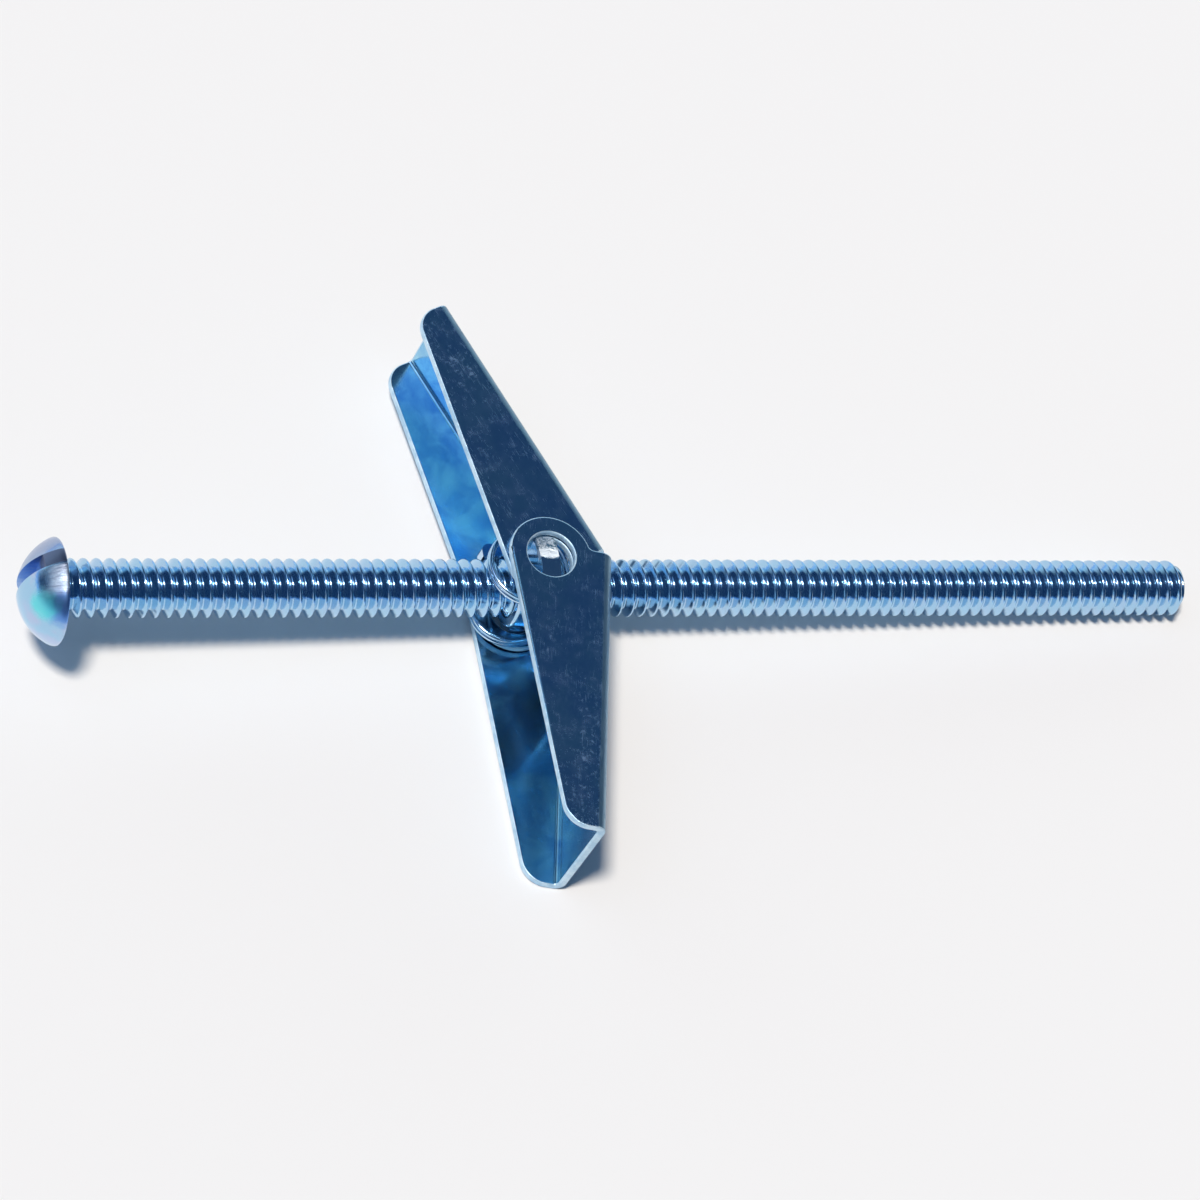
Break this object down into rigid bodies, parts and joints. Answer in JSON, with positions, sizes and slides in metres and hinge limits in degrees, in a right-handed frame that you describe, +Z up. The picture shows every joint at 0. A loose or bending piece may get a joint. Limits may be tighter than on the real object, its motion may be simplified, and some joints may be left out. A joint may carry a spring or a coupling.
{
  "type": "toggle bolt",
  "caption": "Spring toggle bolt: slotted round-head machine screw with a wing nut whose two sprung channel wings fold back along the screw and open behind a wall.",
  "frame": {"origin": "middle of the outline, on the table the bolt lies on", "axes": "+X along the screw from head to tip (the screw slopes 3.2 degrees down towards its tip), +Z up from the table"},
  "size_m": [0.1026, 0.049, 0.0122],
  "materials": {
    "screw_zinc": "bright zinc plating with a blue tint",
    "nut_zinc": "zinc plating with a blue tint, sheared edges",
    "wing_zinc": "zinc plated sheet with a blue tint and fine scratches",
    "spring_wire": "drawn wire, zinc plated"
  },
  "bodies": {
    "screw": {"screw": "screw_zinc"},
    "nut": {"toggle_nut": "nut_zinc", "wing_spring": "spring_wire"},
    "outer_wing": {"outer_wing": "wing_zinc"},
    "inner_wing": {"inner_wing": "wing_zinc"}
  },
  "joints": [
    {"name": "nut_travel", "type": "slide", "parent": "screw", "child": "nut", "axis": [0.9984, 0, -0.0559], "range_m": [-0.015, 0.058]},
    {"name": "outer_wing_fold", "type": "hinge", "parent": "nut", "child": "outer_wing", "pos_m": [-0.00865, 0.00019, 0.00569], "axis": [-0.0559, 0.0122, -0.9984], "range_deg": [0, 81.7], "stiffness_Nm_per_rad": 0.012, "deforming": ["wing_spring"]},
    {"name": "inner_wing_fold", "type": "hinge", "parent": "nut", "child": "inner_wing", "pos_m": [-0.00865, 0.00019, 0.00569], "axis": [0.0559, -0.0122, 0.9984], "range_deg": [-7, 71.5], "stiffness_Nm_per_rad": 0.012, "deforming": ["wing_spring"]}
  ]
}
